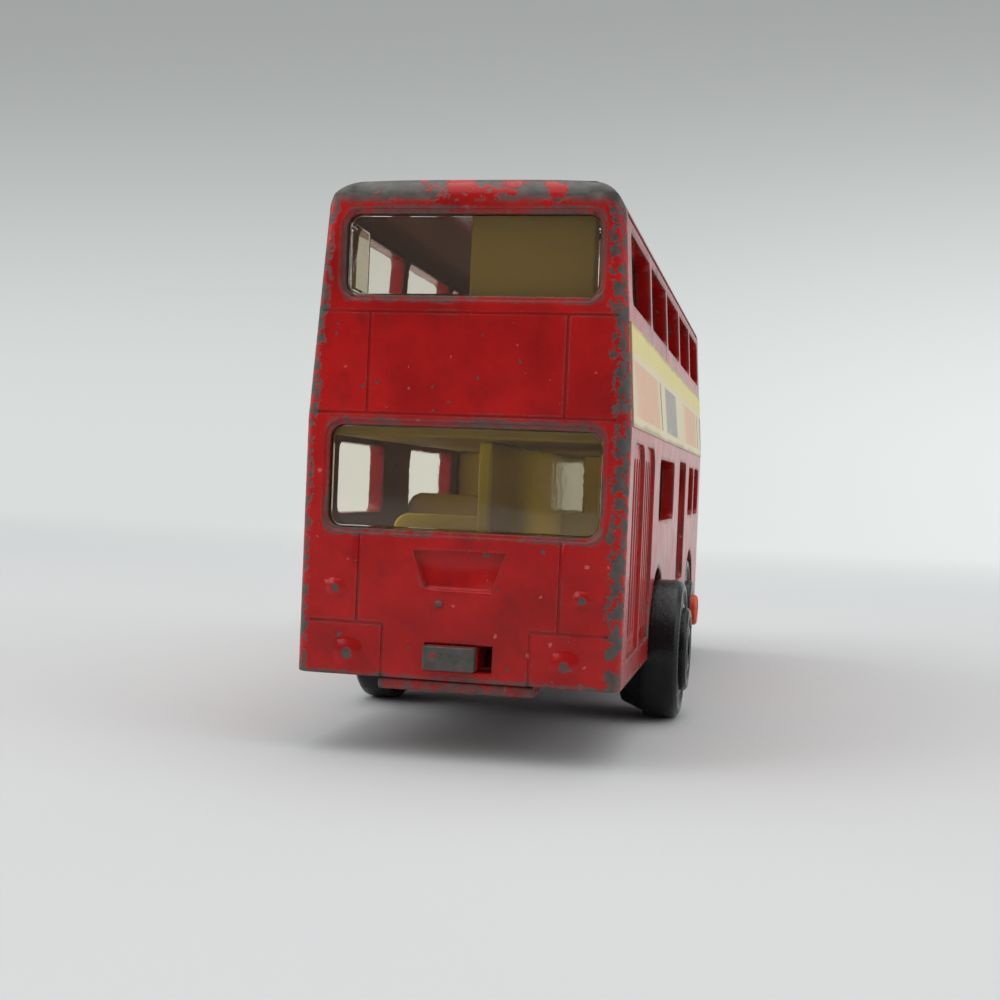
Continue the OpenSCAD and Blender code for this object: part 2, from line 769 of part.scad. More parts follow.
module baseplate() {
    half = side_x - wall - fit;
    reach = front_y - wall - fit;
    color(paint_red) difference() {
        union() {
            difference() {
                translate([-half, -reach, skirt_z]) cube([2 * half, 2 * reach, plate_t]);
                wheel_room(rear_axle_y, rear_reach, beam_gap);
                wheel_room(front_axle_y, front_reach, beam_gap);
            }
            translate([-belly_w / 2, rear_y + belly_rear, belly_z])
                cube([belly_w, body_length - belly_rear - belly_front, plate_z - belly_z]);
            axle_beam(rear_axle_y, rear_reach);
            axle_beam(front_axle_y, front_reach);
            tail_tab();
            tail_strip();
            bumper();
        }
        axle_bore(rear_axle_y);
        axle_bore(front_axle_y);
        translate([0, front_y - rivet_place, skirt_z - over])
            cylinder(r = rivet_r + fit, h = plate_t + 2 * over);
        translate([0, front_y - rivet_place, skirt_z - over])
            cylinder(r = rivet_head_r + fit, h = rivet_head_t + fit + over);
    }
}

module base_rivet() {
    color("silver") translate([0, front_y - rivet_place, skirt_z + fit]) {
        cylinder(r = rivet_head_r, h = rivet_head_t);
        cylinder(r = rivet_r, h = plate_t - fit + rivet_grip);
    }
}

// The plug of a pane in an end window
module pane_plug(x, z, w, h) {
    translate([x, rear_y + wall, z]) rotate([90, 0, 0]) linear_extrude(wall - pane_set)
        rounded_rect(w - 2 * fit, h - 2 * fit, end_window_r - fit);
}

// The flange of a pane behind the wall
module pane_flange(z, w, h) {
    translate([0, rear_y + wall + flange_t, z]) rotate([90, 0, 0]) linear_extrude(flange_t)
        rounded_rect(w + 2 * flange_side_w, h + 2 * flange_w, end_window_r);
}

// The returns of a pane, which run forward from the ends of its flange
module pane_returns(z, w, h) {
    tall = h + 2 * flange_w - 2 * end_window_r;
    both_sides() translate([w / 2 + flange_side_w - return_t, rear_y + wall, z - tall / 2])
        cube([return_t, flange_t + return_l, tall]);
}

module rear_upper_pane() {
    color(pane_tint, pane_alpha) {
        pane_plug(0, upper_end_z, upper_end_w, upper_end_h);
        pane_flange(upper_end_z, upper_end_w, upper_end_h);
        pane_returns(upper_end_z, upper_end_w, upper_end_h);
    }
}

module rear_lower_pane() {
    color(pane_tint, pane_alpha) {
        pane_plug(0, lower_end_z, lower_end_w, lower_end_h);
        pane_flange(lower_end_z, lower_end_w, lower_end_h);
    }
}

module front_upper_pane() {
    mirror([0, 1, 0]) rear_upper_pane();
}

module front_lower_pane() {
    color(pane_tint, pane_alpha) mirror([0, 1, 0]) {
        for (s = [-1, 1]) pane_plug(s * light_x, lower_end_z, light_w, lower_end_h);
        pane_flange(lower_end_z, windscreen_w, lower_end_h);
    }
}

// One seat on the right of the partition, its back against y, standing on a floor at z
module seat(y, z, half, cushion, h) {
    w = half - partition_t / 2;
    translate([partition_t / 2, y, z]) {
        cube([w, back_t + cushion_l, cushion]);
        translate([0, back_t, 0]) rotate([90, 0, 0]) linear_extrude(back_t) {
            square([w, h - back_r]);
            square([w - back_r, h]);
            translate([w - back_r, h - back_r]) circle(back_r);
        }
    }
}

// The row over the rear wheels, wider above the wheels than at the floor
module wheel_seat(y) {
    lift = axle_z + arch_r + floor_gap - floor_z;
    seat(y, floor_z, floor_half, cushion_h, wheel_row_h);
    seat(y, floor_z + lift, wheel_row_half, wheel_cushion_h, wheel_row_h - lift);
}

// Cross wall up to the upper floor, with an aisle beside the partition on the right
module bulkhead(y) {
    half = side_x - wall - floor_gap;
    aisle_x = partition_t / 2 + aisle_w;
    translate([-half, y, floor_z]) cube([half, back_t, deck_z - floor_z]);
    translate([aisle_x, y, floor_z]) cube([half - aisle_x, back_t, deck_z - floor_z]);
}

module lower_row(i) {
    seat(row_y + i * lower_pitch, floor_z, floor_half, cushion_h, back_h);
}

// The left side has all the rows, the right side those in front of the bulkhead
module lower_seats() {
    length = body_length - floor_rear - floor_front;
    color(seat_olive) {
        difference() {
            translate([-floor_half, rear_y + floor_rear, beam_top]) cube([2 * floor_half, length, floor_t]);
            wheel_room(front_axle_y, front_reach, wheel_gap);
        }
        translate([-partition_t / 2, rear_y + floor_rear, floor_z - floor_t / 2])
            cube([partition_t, length, deck_z - floor_z + floor_t / 2]);
        mirror([1, 0, 0]) {
            wheel_seat(row_y + wheel_row * lower_pitch);
            lower_row(0);
            for (i = [wheel_row + 1 : 1 : lower_rows - 1]) lower_row(i);
        }
        for (i = [bulkhead_row : 1 : lower_rows - 1]) lower_row(i);
        bulkhead(row_y + bulkhead_row * lower_pitch);
    }
}

// Wall across the right side behind the upper deck's rear window
module upper_bulkhead() {
    reach = upper_end_w / 2 + flange_side_w - return_t - floor_gap;
    translate([0, rear_y + upper_partition_rear, upper_floor_z - floor_t / 2])
        cube([reach, partition_t, ceiling_z - floor_gap - upper_floor_z + floor_t / 2]);
}

module upper_deck() {
    rear = rear_y + wall + flange_t + floor_gap;
    half = side_at(upper_floor_z, wall) - floor_gap;
    length = body_length - upper_partition_rear - floor_front;
    seat_half = side_at(upper_floor_z + upper_back_h, wall) - upper_seat_gap;
    color(seat_olive) {
        translate([-half, rear, deck_z]) cube([2 * half, -2 * rear, floor_t]);
        translate([-partition_t / 2, rear_y + upper_partition_rear, upper_floor_z - floor_t / 2])
            cube([partition_t, length, ceiling_z - floor_gap - upper_floor_z + floor_t / 2]);
        upper_bulkhead();
        both_sides() for (i = [0 : upper_rows - 1])
            seat(row_y + i * upper_row_pitch, upper_floor_z, seat_half, cushion_h, upper_back_h);
    }
}

// An axle with a head in each hub's pocket
module axle(y, reach, proud) {
    seat_x = side_x + reach + proud - head_pocket + end_play;
    color("silver") translate([0, y, axle_z]) {
        translate([-seat_x, 0, 0]) rotate([0, 90, 0]) cylinder(r = axle_r, h = 2 * seat_x);
        both_sides() translate([seat_x, 0, 0]) rotate([0, 90, 0]) cylinder(r = axle_head_r, h = axle_head_t);
    }
}

module rear_axle() {
    axle(rear_axle_y, rear_reach, rear_hub_proud);
}

module front_axle() {
    axle(front_axle_y, front_reach, front_hub_proud);
}

// Half section of a tyre from its inner face to the foot of its outer face
function tyre_section(hub_r) =
    let (shoulder_w = tyre_w - tread_w)
    [[hub_r + fit / 5, 0], [shoulder_r, 0], [tyre_r - shoulder_step, shoulder_w],
        [tyre_r, shoulder_w], [tyre_r, tyre_w - tread_chamfer], [tyre_r - tread_chamfer, tyre_w]];

// A section turned about an axle on the right side
module turned_right(y, reach, section) {
    translate([side_x + reach - tyre_w, y, axle_z]) rotate([0, 90, 0]) rotate_extrude() polygon(section);
}

// A hub on the right side, with its bore and the pocket for the axle's head
module hub(y, reach, hub_r, proud) {
    length = tyre_w + proud;
    pocket_r = axle_head_r + 3 * end_play;
    turned_right(y, reach, [[axle_r + hub_clear, 0], [hub_r, 0], [hub_r, length - hub_chamfer],
        [hub_r - hub_chamfer, length], [pocket_r, length], [pocket_r, length - head_pocket],
        [axle_r + hub_clear, length - head_pocket]]);
}

module rear_right_tyre() {
    color("#1c1c1e") turned_right(rear_axle_y, rear_reach,
        concat(tyre_section(rear_hub_r), [[rear_hub_r + fit / 5, tyre_w]]));
}

module rear_left_tyre() {
    mirror([1, 0, 0]) rear_right_tyre();
}

// The front tyres carry a raised boss round their hubs
module front_right_tyre() {
    boss_x = tyre_w + front_boss_proud;
    color("#1c1c1e") turned_right(front_axle_y, front_reach,
        concat(tyre_section(front_hub_r), [[front_boss_r, tyre_w], [front_boss_r, boss_x],
            [front_hub_r + fit / 5, boss_x]]));
}

module front_left_tyre() {
    mirror([1, 0, 0]) front_right_tyre();
}

module rear_right_hub() {
    color("#1c1c1e") hub(rear_axle_y, rear_reach, rear_hub_r, rear_hub_proud);
}

module rear_left_hub() {
    mirror([1, 0, 0]) rear_right_hub();
}

module front_right_hub() {
    color("#e0401c") hub(front_axle_y, front_reach, front_hub_r, front_hub_proud);
}

module front_left_hub() {
    mirror([1, 0, 0]) front_right_hub();
}

module right_label() {
    length = body_length - 2 * label_margin;
    color("#e8dcae") translate([side_x, -length / 2, waist_z]) rotate([0, -upper_lean, 0])
        translate([0, 0, label_rise]) cube([label_t, length, label_h]);
}

module left_label() {
    mirror([1, 0, 0]) right_label();
}

body_casting();
baseplate();
base_rivet();
rear_upper_pane();
rear_lower_pane();
front_upper_pane();
front_lower_pane();
lower_seats();
upper_deck();
rear_axle();
front_axle();
rear_right_tyre();
rear_left_tyre();
front_right_tyre();
front_left_tyre();
rear_right_hub();
rear_left_hub();
front_right_hub();
front_left_hub();
right_label();
left_label();
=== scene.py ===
"""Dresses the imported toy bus: worn enamel, clear panes, moulded seats, wheels and printed labels."""
import math

import bpy
import numpy as np
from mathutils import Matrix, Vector


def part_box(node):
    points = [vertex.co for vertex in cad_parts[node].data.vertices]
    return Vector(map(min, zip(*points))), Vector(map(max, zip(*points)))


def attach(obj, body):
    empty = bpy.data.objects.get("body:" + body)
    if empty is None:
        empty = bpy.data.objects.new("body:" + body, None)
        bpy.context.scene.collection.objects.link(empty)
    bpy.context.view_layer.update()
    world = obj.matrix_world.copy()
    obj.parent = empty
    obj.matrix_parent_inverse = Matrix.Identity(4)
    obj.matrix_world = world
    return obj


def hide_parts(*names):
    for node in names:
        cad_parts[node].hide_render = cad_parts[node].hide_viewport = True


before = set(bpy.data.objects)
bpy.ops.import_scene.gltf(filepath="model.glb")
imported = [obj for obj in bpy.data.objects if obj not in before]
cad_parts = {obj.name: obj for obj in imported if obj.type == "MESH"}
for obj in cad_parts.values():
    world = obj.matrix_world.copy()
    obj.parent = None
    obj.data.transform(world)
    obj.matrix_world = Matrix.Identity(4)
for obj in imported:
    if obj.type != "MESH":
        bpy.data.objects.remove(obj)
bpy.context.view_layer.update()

MM = 0.001
PER_MM = 1000.0

# Sizes of the bus in millimetres, as the solids have them
body_low, body_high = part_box("body_casting")
SIDE_X = body_high[0] * PER_MM
ROOF_Z = body_high[2] * PER_MM
SKIRT_Z = body_low[2] * PER_MM
END_Y = 38.0                              # half the length of the body without its lamps
WAIST_Z = 22.0                            # above it the sides lean inward
LEAN = math.tan(math.radians(3.8))
FLANGE = 0.4                              # how far a pane reaches behind the rim of its window

# Rounding of edges
SHORT_EDGE = 0.5 * MM
SPOTS_ON_SHORT_EDGE = (0.5,)
SPOTS_ON_EDGE = (0.02, 0.5, 0.98)
SHARE_OF_ROOM = 0.4
NO_LENGTH = 1e-9
BARELY = 1e-6
PARALLEL = 1e-15
SMOOTH_BELOW = math.radians(50)


# Selecting and making pieces

def only(piece):
    bpy.ops.object.select_all(action="DESELECT")
    piece.select_set(True)
    bpy.context.view_layer.objects.active = piece


def edit(piece):
    only(piece)
    bpy.ops.object.mode_set(mode="EDIT")
    bpy.ops.mesh.select_all(action="SELECT")


def done():
    bpy.ops.object.mode_set(mode="OBJECT")


def room_beside(start, end, face, corners):
    """How far a face reaches inward from one of its edges, and the inward direction."""
    ids = list(face.vertices)
    normal = np.array(face.normal)
    along = corners[end] - corners[start]
    length = np.linalg.norm(along)
    inward = np.cross(normal, along / length)
    if ids[(ids.index(start) + 1) % len(ids)] != end:
        inward = -inward
    ring = corners[ids]
    sides = np.roll(ring, -1, axis=0) - ring
    across = np.cross(inward, sides) @ normal
    slanted = np.abs(across) > PARALLEL
    across = np.where(slanted, across, 1.0)
    room = 1.0
    for share in (SPOTS_ON_SHORT_EDGE if length < SHORT_EDGE else SPOTS_ON_EDGE):
        offset = ring - (corners[start] + along * share)
        reach = np.cross(offset, sides) @ normal / across
        where = np.cross(offset, inward) @ normal / across
        hit = slanted & (reach > BARELY) & (where > -BARELY) & (where < 1 + BARELY)
        if hit.any():
            room = min(room, reach[hit].min())
    return room, inward


def weigh_edges(mesh, width, angle):
    """Gives each sharp outer edge as much rounding as the two faces beside it have room for."""
    corners = np.array([vertex.co for vertex in mesh.vertices])
    beside = {}
    for face in mesh.polygons:
        for key in face.edge_keys:
            beside.setdefault(key, []).append(face)
    flat = math.cos(math.radians(angle))
    weights = np.zeros(len(mesh.edges))
    for edge in mesh.edges:
        first, second = beside[edge.key]
        start, end = edge.key
        if first.normal.dot(second.normal) > flat:
            continue
        if np.linalg.norm(corners[end] - corners[start]) < NO_LENGTH:
            continue
        room, inward = room_beside(start, end, first, corners)
        if inward @ np.array(second.normal) > 0:
            continue
        room = min(room, room_beside(start, end, second, corners)[0])
        weights[edge.index] = min(1.0, SHARE_OF_ROOM * room / (width * MM))
    layer = mesh.attributes.new("bevel_weight_edge", "FLOAT", "EDGE")
    layer.data.foreach_set("value", weights)


def soften_edges(piece, width, segments, angle):
    """Rounds the sharp outer edges of a piece and gives flat faces flat shading."""
    only(piece)
    weigh_edges(piece.data, width, angle)
    rounding = piece.modifiers.new("rounded edges", "BEVEL")
    rounding.width = width * MM
    rounding.segments = segments
    rounding.limit_method = "WEIGHT"
    rounding.use_clamp_overlap = False
    rounding.loop_slide = False
    bpy.ops.object.modifier_apply(modifier=rounding.name)
    bpy.ops.object.shade_smooth_by_angle(angle=SMOOTH_BELOW)
    shading = piece.modifiers.new("flat faces", "WEIGHTED_NORMAL")
    shading.keep_sharp = True
    shading.weight = 100
    bpy.ops.object.modifier_apply(modifier=shading.name)


def dress(piece, body, slot, material, *nodes):
    piece.data.materials.clear()
    piece.data.materials.append(material)
    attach(piece, body)
    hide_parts(*nodes)


def cast_copy(node, name, width, cuts):
    """A copy of a solid with its triangles merged and its sharp edges rounded as on a casting.
    The cuts are planes through its openings, so that no merged face has a hole in it."""
    piece = bpy.data.objects.new(name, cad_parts[node].data.copy())
    bpy.context.scene.collection.objects.link(piece)
    edit(piece)
    bpy.ops.mesh.remove_doubles(threshold=1e-6)
    bpy.ops.mesh.mark_seam(clear=True)
    for axis, places in cuts:
        for place in places:
            point = Vector((0, 0, 0))
            point[axis] = place * MM
            across = Vector((0, 0, 0))
            across[axis] = 1
            bpy.ops.mesh.select_all(action="SELECT")
            bpy.ops.mesh.bisect(plane_co=point, plane_no=across)
            bpy.ops.mesh.mark_seam(clear=False)
    bpy.ops.mesh.select_all(action="SELECT")
    bpy.ops.mesh.dissolve_limited(angle_limit=math.radians(0.3), delimit={"SEAM"})
    done()
    soften_edges(piece, width, segments=2, angle=35)
    return piece


def turned(name, outline, axle, width):
    """Turns a closed outline of (x, radius) points in millimetres about an axle along X."""
    bpy.ops.object.select_all(action="DESELECT")
    x, radius = outline[0]
    bpy.ops.mesh.primitive_circle_add(vertices=96, radius=radius * MM, location=(x * MM, *axle),
                                      rotation=(0, math.pi / 2, 0))
    piece = bpy.context.object
    piece.name = name
    piece.data.name = name
    bpy.ops.object.transform_apply(location=True, rotation=True, scale=True)
    edit(piece)
    for (x0, r0), (x1, r1) in zip(outline, outline[1:]):
        bpy.ops.mesh.extrude_edges_move(TRANSFORM_OT_translate={"value": ((x1 - x0) * MM, 0, 0)})
        bpy.ops.transform.resize(value=(1, r1 / r0, r1 / r0), center_override=(x1 * MM, *axle))
    bpy.ops.mesh.select_all(action="DESELECT")
    bpy.ops.mesh.select_non_manifold()
    bpy.ops.mesh.bridge_edge_loops()
    bpy.ops.mesh.select_all(action="SELECT")
    bpy.ops.mesh.remove_doubles(threshold=1e-7)
    bpy.ops.mesh.normals_make_consistent(inside=False)
    done()
    soften_edges(piece, width, segments=3, angle=20)
    return piece


def mirrored(piece, name):
    """A copy of a right-hand piece for the left side, with its own mesh."""
    copy = bpy.data.objects.new(name, piece.data.copy())
    bpy.context.scene.collection.objects.link(copy)
    copy.data.name = name
    only(copy)
    copy.scale = (-1, 1, 1)
    bpy.ops.object.transform_apply(location=False, rotation=False, scale=True)
    edit(copy)
    bpy.ops.mesh.normals_make_consistent(inside=False)
    done()
    return copy


# Node wiring

def is_socket(value):
    return isinstance(value, bpy.types.NodeSocket)


def colour(value):
    return value if is_socket(value) else (*value, 1.0)


class Wiring:
    """Places nodes in one tree and joins them."""

    def __init__(self, tree):
        self.tree = tree

    def put(self, kind, settings=None, feeds=None):
        node = self.tree.nodes.new(kind)
        for key, value in (settings or {}).items():
            setattr(node, key, value)
        for key, value in (feeds or {}).items():
            self.feed(node.inputs[key], value)
        return node

    def feed(self, socket, value):
        if is_socket(value):
            self.tree.links.new(value, socket)
        else:
            socket.default_value = value

    def math(self, operation, a, b=0.0):
        return self.put("ShaderNodeMath", {"operation": operation}, {0: a, 1: b}).outputs[0]

    def plus(self, a, b):
        return self.math("ADD", a, b)

    def minus(self, a, b):
        return self.math("SUBTRACT", a, b)

    def times(self, a, b):
        return self.math("MULTIPLY", a, b)

    def absolute(self, value):
        return self.math("ABSOLUTE", value)

    def highest(self, *values):
        top = values[0]
        for value in values[1:]:
            top = self.math("MAXIMUM", top, value)
        return top

    def lowest(self, *values):
        bottom = values[0]
        for value in values[1:]:
            bottom = self.math("MINIMUM", bottom, value)
        return bottom

    def rise(self, value, start, end):
        """0 before start, 1 after end, smooth between, where end may lie below start."""
        node = self.put("ShaderNodeMapRange", {"interpolation_type": "SMOOTHSTEP"}, {"Value": value})
        node.inputs["From Min"].default_value = min(start, end)
        node.inputs["From Max"].default_value = max(start, end)
        node.inputs["To Min"].default_value = 0.0 if start < end else 1.0
        node.inputs["To Max"].default_value = 1.0 if start < end else 0.0
        return node.outputs["Result"]

    def spread(self, value, low, high):
        """Maps 0 to 1 onto low to high."""
        node = self.put("ShaderNodeMapRange", {}, {"Value": value})
        node.inputs["To Min"].default_value = low
        node.inputs["To Max"].default_value = high
        return node.outputs["Result"]

    def blend(self, share, first, second):
        node = self.put("ShaderNodeMix", {"data_type": "RGBA"}, {"Factor": share})
        self.feed(node.inputs[6], colour(first))
        self.feed(node.inputs[7], colour(second))
        return node.outputs[2]

    def millimetres(self):
        place = self.put("ShaderNodeTexCoord").outputs["Object"]
        return self.put("ShaderNodeVectorMath", {"operation": "SCALE"},
                        {"Vector": place, "Scale": PER_MM}).outputs["Vector"]

    def axes(self, place):
        return self.put("ShaderNodeSeparateXYZ", {}, {"Vector": place}).outputs

    def facing_up(self):
        """1 where the surface faces up, -1 where it faces down."""
        return self.axes(self.put("ShaderNodeNewGeometry").outputs["Normal"])["Z"]

    def shifted(self, place, offset, scale=(1, 1, 1)):
        return self.put("ShaderNodeMapping", {},
                        {"Vector": place, "Location": offset, "Scale": scale}).outputs[0]

    def cloud(self, place, size, detail, roughness):
        """Noise whose blotches are about size millimetres across."""
        scale = self.math("DIVIDE", 1.0, size) if is_socket(size) else 1.0 / size
        return self.put("ShaderNodeTexNoise", {}, {"Vector": place, "Scale": scale, "Detail": detail,
                                                   "Roughness": roughness}).outputs["Fac"]

    def near_surface(self, reach, inside):
        """How open the room within reach millimetres is, outside the piece or inside it: 1 is open."""
        return self.put("ShaderNodeAmbientOcclusion", {"inside": inside, "only_local": True, "samples": 5},
                        {"Distance": self.times(reach, MM)}).outputs["AO"]

    def bump(self, height, depth, strength):
        return self.put("ShaderNodeBump", {}, {"Height": height, "Strength": strength,
                                               "Distance": depth * MM}).outputs["Normal"]

    def group(self, effect, **values):
        return self.put("ShaderNodeGroup", {"node_tree": effect}, values).outputs[0]


def effect(name, output, **inputs):
    """An empty node group with float inputs and one float output."""
    tree = bpy.data.node_groups.new(name, "ShaderNodeTree")
    for key, value in inputs.items():
        socket = tree.interface.new_socket(key, in_out="INPUT", socket_type="NodeSocketFloat")
        socket.default_value = value
    tree.interface.new_socket(output, in_out="OUTPUT", socket_type="NodeSocketFloat")
    wires = Wiring(tree)
    given = wires.put("NodeGroupInput").outputs
    result = wires.put("NodeGroupOutput").inputs[output]
    return tree, wires, given, result


def make_worn_edges():
    """Where a convex edge has lost its paint: 1 is bare."""
    tree, w, given, result = effect("worn edges", "Bare", Reach=0.5, Amount=0.5)
    place = w.millimetres()
    open_edge = w.minus(1.0, w.near_surface(given["Reach"], inside=True))
    ragged = w.cloud(place, 0.9, 5.0, 0.7)
    patches = w.cloud(w.shifted(place, (31, 7, 13)), 5.0, 3.0, 0.55)
    wear = w.plus(open_edge, w.times(w.minus(ragged, 0.5), 0.55))
    wear = w.plus(wear, w.times(w.minus(patches, 0.5), 0.7))
    wear = w.plus(wear, w.minus(given["Amount"], 0.5))
    w.feed(result, w.rise(wear, 0.38, 0.5))
    return tree


def make_crevice_shade():
    """Where lines and corners close in the surface, so that shade falls there: 1 is closed in. It carries
    painted shade, and painted light that lifts that shade.
    """
    tree, w, given, result = effect("crevice shade", "Shade", Reach=0.5)
    open_room = w.near_surface(given["Reach"], inside=False)
    shade_wobble = w.cloud(w.millimetres(), 1.6, 4.0, 0.6)
    w.feed(result, w.rise(w.plus(open_room, w.times(w.minus(shade_wobble, 0.5), 0.3)), 0.85, 0.35))
    return tree


def make_chips():
    """Small specks where the finish is knocked off: 1 is bare."""
    tree, w, given, result = effect("small chips", "Bare", Size=1.0, Share=0.15)
    place = w.millimetres()
    bend = 0.55
    bent = w.put("ShaderNodeTexNoise", {}, {"Vector": place, "Scale": 2.6, "Detail": 3.0}).outputs["Color"]
    warped = w.put("ShaderNodeVectorMath", {"operation": "MULTIPLY_ADD"},
                   {0: bent, 1: (bend, bend, bend), 2: place}).outputs["Vector"]
    cells = w.put("ShaderNodeTexVoronoi", {},
                  {"Vector": warped, "Scale": w.math("DIVIDE", 1.0, given["Size"])}).outputs
    lot = w.put("ShaderNodeSeparateColor", {}, {"Color": cells["Color"]}).outputs
    chosen = w.math("LESS_THAN", lot["Red"], given["Share"])
    size = w.spread(lot["Green"], 0.06, 0.26)
    w.feed(result, w.times(chosen, w.math("LESS_THAN", cells["Distance"], size)))
    return tree


def make_grain():
    """Fine unevenness of a cast or moulded skin."""
    tree, w, given, result = effect("fine grain", "Height", Size=0.3)
    place = w.millimetres()
    fine = w.cloud(place, given["Size"], 3.0, 0.6)
    broad = w.cloud(w.shifted(place, (5, 17, 3)), w.times(given["Size"], 7.0), 2.0, 0.5)
    w.feed(result, w.plus(w.times(fine, 0.5), w.times(broad, 0.8)))
    return tree


def make_dust():
    """Dust on what faces up, in drifts: 1 is covered."""
    tree, w, given, result = effect("settled dust", "Dust", Amount=0.5)
    place = w.millimetres()
    drift = w.cloud(place, 2.2, 5.0, 0.65)
    specks = w.cloud(w.shifted(place, (9, 2, 21)), 0.35, 2.0, 0.5)
    lies = w.times(w.rise(w.facing_up(), 0.1, 0.95), w.rise(drift, 0.35, 0.75))
    flecks = w.times(0.6, w.rise(specks, 0.66, 0.74))
    w.feed(result, w.times(given["Amount"], w.highest(lies, flecks)))
    return tree


WORN_EDGES = make_worn_edges()
CREVICE_SHADE = make_crevice_shade()
CHIPS = make_chips()
GRAIN = make_grain()
DUST = make_dust()


def finish(name, **plain):
    """A new material with its shader, and plain values set on the shader's own sockets."""
    material = bpy.data.materials.new(name)
    material.use_nodes = True
    tree = material.node_tree
    tree.nodes.clear()
    wires = Wiring(tree)
    shader = wires.put("ShaderNodeBsdfPrincipled")
    wires.put("ShaderNodeOutputMaterial", {}, {"Surface": shader.outputs[0]})
    for key, value in plain.items():
        shader.inputs[key.replace("_", " ")].default_value = value
    return material, wires, shader.inputs


# Finishes

def distance_to_rear_rims(w, x, z):
    """Millimetres to the nearest rim of the two rear windows, seen from behind."""
    rims = []
    for node in ("rear_upper_pane", "rear_lower_pane"):
        low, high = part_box(node)
        middle = (low[2] + high[2]) / 2 * PER_MM
        across = w.minus(w.absolute(x), high[0] * PER_MM - FLANGE)
        up = w.minus(w.absolute(w.minus(z, middle)), high[2] * PER_MM - FLANGE - middle)
        rims.append(w.absolute(w.highest(across, up)))
    return w.lowest(*rims)


def make_red_enamel():
    """Red paint on a grey casting, knocked and rubbed bare at the corners and edges."""
    material, w, shader = finish("red_enamel", IOR=1.34)
    place = w.millimetres()
    x, y, z = w.axes(place)
    side = w.minus(SIDE_X, w.times(w.highest(w.minus(z, WAIST_Z), 0.0), LEAN))
    from_right = w.minus(side, x)
    from_left = w.plus(side, x)
    to_side = w.lowest(from_left, from_right)
    behind = w.plus(y, END_Y)
    beyond = w.minus(w.absolute(y), END_Y)
    ragged = w.cloud(place, 1.3, 6.0, 0.68)
    patches = w.cloud(w.shifted(place, (3, 11, 29)), 4.0, 4.0, 0.6)
    islands = w.cloud(w.shifted(place, (17, 23, 1)), 0.75, 5.0, 0.65)
    wander = w.times(w.minus(ragged, 0.5), 2.0)

    # The right rear corner is rubbed bare in a band, the others in a few places
    rear = w.rise(behind, 1.1, 0.6)
    front = w.rise(w.minus(END_Y, y), 1.1, 0.6)
    right_band = w.times(w.rise(w.plus(from_right, wander), 1.15, 0.9),
                         w.rise(w.plus(from_right, islands), 0.42, 0.6))
    right_band = w.times(right_band, w.rise(islands, 0.46, 0.51))
    few = w.times(w.rise(w.plus(to_side, wander), 0.9, 0.6), w.rise(islands, 0.48, 0.52))
    corners = w.highest(w.times(rear, right_band), w.times(w.highest(rear, front), few))

    # The edges of the roof at both ends have lost paint in patches, most at their corners
    edge_height = w.rise(w.plus(z, w.times(wander, 0.5)), ROOF_Z - 2.1, ROOF_Z - 1.3)
    to_end = w.lowest(behind, w.minus(END_Y + 1.4, y))
    at_ends = w.rise(w.minus(to_end, wander), 3.4, 2.2)
    near_side = w.rise(to_side, 5.5, 1.2)
    lost = w.plus(w.plus(patches, w.times(islands, 0.5)), w.times(near_side, 0.25))
    roof_edge = w.times(w.times(edge_height, at_ends), w.rise(lost, 0.66, 0.72))

    # The peaks of the lamps are knocked bare, and the tab has only some paint left
    peaks = w.rise(w.plus(beyond, w.times(w.minus(ragged, 0.5), 0.1)), 0.25, 0.285)
    knocked = w.times(peaks, w.highest(w.rise(beyond, 0.4, 0.35), w.rise(islands, 0.66, 0.60)))

    # Of all edges, the rims of the rear windows and the lower edge are worn most
    to_rim = distance_to_rear_rims(w, x, z)
    at_lower_edge = w.rise(z, SKIRT_Z + 0.5, SKIRT_Z + 0.2)
    rubbed = w.times(rear, w.highest(w.rise(to_rim, 0.75, 0.4), at_lower_edge))
    wear = w.plus(w.spread(rubbed, 0.5, 0.78), w.spread(rear, 0.13, 0.0))
    edges = w.group(WORN_EDGES, Reach=0.5, Amount=wear)
    chips = w.highest(w.group(CHIPS, Size=0.95, Share=0.13), w.group(CHIPS, Size=0.42, Share=0.045))
    bare = w.highest(corners, roof_edge, knocked, edges, chips)

    # Paint of uneven tone under a sooty film, with painted shade deeper in the corners, painted light in the
    # lines and lighter paint in shallow nicks
    tone = w.cloud(w.shifted(place, (40, 3, 8)), 7.0, 6.0, 0.62)
    deep_red, bright_red = (0.33, 0.0055, 0.006), (0.55, 0.0105, 0.010)
    paint = w.blend(w.rise(tone, 0.3, 0.7), deep_red, bright_red)
    film = w.rise(w.cloud(w.shifted(place, (1, 9, 33)), 3.2, 6.0, 0.7), 0.5, 0.72)
    # A random sooty film, and painted shade where corners close in within 1.8 mm
    soot_and_shade = w.highest(w.times(film, 0.34), w.times(w.group(CREVICE_SHADE, Reach=1.8), 0.4))
    sooty_shaded_red, line_lifting_light, nick_pink = (0.05, 0.008, 0.008), (0.92, 0.03, 0.028), (0.72, 0.22, 0.17)
    paint = w.blend(soot_and_shade, paint, sooty_shaded_red)
    # Painted light: the lines are painted lighter to lift the shade that falls in them
    paint = w.blend(w.times(w.group(CREVICE_SHADE, Reach=0.16), 0.75), paint, line_lifting_light)
    paint = w.blend(w.times(w.group(CHIPS, Size=0.72, Share=0.07), 0.5), paint, nick_pink)

    # The reveals of the rear windows and the underside are painted dark: painted shade in the recesses and
    # under the bus
    reveal_shade, underside_shade = (0.025, 0.014, 0.011), (0.02, 0.014, 0.013)
    in_wall = w.times(w.rise(behind, 0.2, 0.34), w.rise(behind, 1.3, 1.2))
    reveals = w.times(w.rise(to_rim, 0.4, 0.3), in_wall)
    paint = w.blend(w.times(reveals, 0.85), paint, reveal_shade)
    # Painted shade: faces that look down, low on the bus, are darkened
    underneath = w.times(w.rise(w.facing_up(), -0.6, -0.95), w.rise(z, SKIRT_Z + 2.0, SKIRT_Z + 1.0))
    paint = w.blend(w.times(underneath, 0.85), paint, underside_shade)

